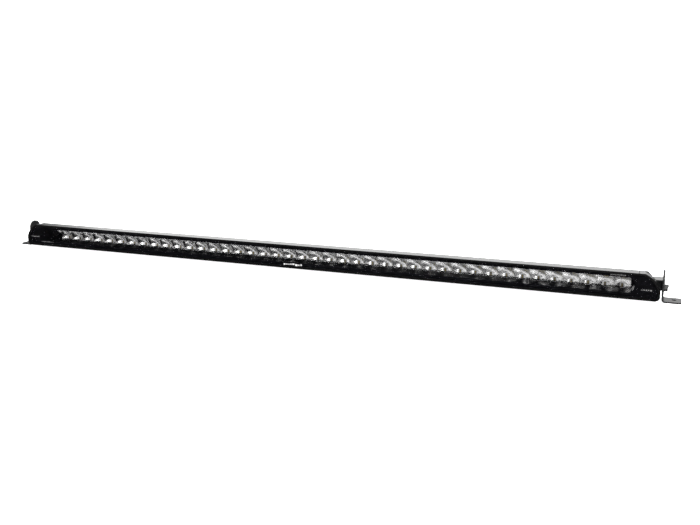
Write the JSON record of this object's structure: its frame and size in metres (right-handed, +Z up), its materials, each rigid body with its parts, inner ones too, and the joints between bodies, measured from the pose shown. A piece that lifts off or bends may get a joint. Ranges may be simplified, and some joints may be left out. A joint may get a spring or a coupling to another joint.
{
  "type": "led light bar",
  "caption": "Slim single-row LED work and driving light bar in a black finned housing, held at both ends by tilting foot brackets.",
  "frame": {"origin": "on the ground plane of the two feet, at the middle of the whole part", "axes": "+X along the bar, the light leaves towards -Y, +Z up from the feet"},
  "size_m": [1.1922, 0.0738, 0.0465],
  "materials": {
    "anodised_housing": "satin black anodised",
    "cast_cap": "satin black paint over a casting",
    "gasket_rubber": "matte",
    "black_screw": "black oxide",
    "lens_clear": "clear polished polycarbonate",
    "gloss_bezel": "gloss black",
    "thermal_pad": "soft grey",
    "steel_screw": "zinc plated",
    "connector_plastic": "moulded",
    "green_board": "solder mask",
    "ferrite": "moulded ferrite",
    "capacitor_can": "sleeved can",
    "chip_black": "moulded",
    "lead_insulation": "silicone insulation",
    "gland_plastic": "moulded black nylon",
    "metallised_reflector": "vacuum metallised",
    "white_board": "white solder mask",
    "led_phosphor": "clear dome over phosphor",
    "stainless": "bright stainless",
    "bracket_powder": "satin black powder coat"
  },
  "bodies": {
    "lamp": {"board_link_connectors": "connector_plastic", "breather_vent": "gland_plastic", "cable_gland_body": "gland_plastic", "cable_gland_locknut": "gland_plastic", "cable_gland_nut": "gland_plastic", "cable_gland_seal": "gasket_rubber", "driver_board": "green_board", "driver_capacitors": "capacitor_can", "driver_connectors": "connector_plastic", "driver_inductors": "ferrite", "driver_pad": "thermal_pad", "driver_transistors": "chip_black", "end_cap_gasket_left": "gasket_rubber", "end_cap_gasket_right": "gasket_rubber", "end_cap_left": "cast_cap", "end_cap_right": "cast_cap", "end_cap_screws_left": "black_screw", "end_cap_screws_right": "black_screw", "front_lens": "lens_clear", "housing": "anodised_housing", "led_board_1": "white_board", "led_board_2": "white_board", "led_board_3": "white_board", "led_board_4": "white_board", "led_board_5": "white_board", "led_board_6": "white_board", "led_board_7": "white_board", "led_board_screws": "steel_screw", "led_emitters_1": "led_phosphor", "led_emitters_2": "led_phosphor", "led_emitters_3": "led_phosphor", "led_emitters_4": "led_phosphor", "led_emitters_5": "led_phosphor", "led_emitters_6": "led_phosphor", "led_emitters_7": "led_phosphor", "lens_gasket": "gasket_rubber", "lock_bolt_left": "black_screw", "lock_bolt_right": "black_screw", "lock_washer_left": "black_screw", "lock_washer_right": "black_screw", "output_leads": "lead_insulation", "pivot_bolt_left": "stainless", "pivot_bolt_right": "stainless", "pivot_washers_left": "stainless", "pivot_washers_right": "stainless", "reflector_module_1": "metallised_reflector", "reflector_module_2": "metallised_reflector", "reflector_module_3": "metallised_reflector", "reflector_module_4": "metallised_reflector", "reflector_module_5": "metallised_reflector", "reflector_module_6": "metallised_reflector", "reflector_module_7": "metallised_reflector", "supply_leads": "lead_insulation", "thermal_pad": "thermal_pad", "window_bezel": "gloss_bezel"},
    "bracket_left": {"bracket_left": "bracket_powder"},
    "bracket_right": {"bracket_right": "bracket_powder"}
  },
  "joints": [
    {"name": "left_bracket_tilt", "type": "hinge", "parent": "lamp", "child": "bracket_left", "pos_m": [-0.56965, -0.00745, 0.0245], "axis": [1, 0, 0], "range_deg": [-20, 20]},
    {"name": "right_bracket_tilt", "type": "hinge", "parent": "lamp", "child": "bracket_right", "pos_m": [0.56965, -0.00745, 0.0245], "axis": [1, 0, 0], "range_deg": [-20, 20]}
  ]
}
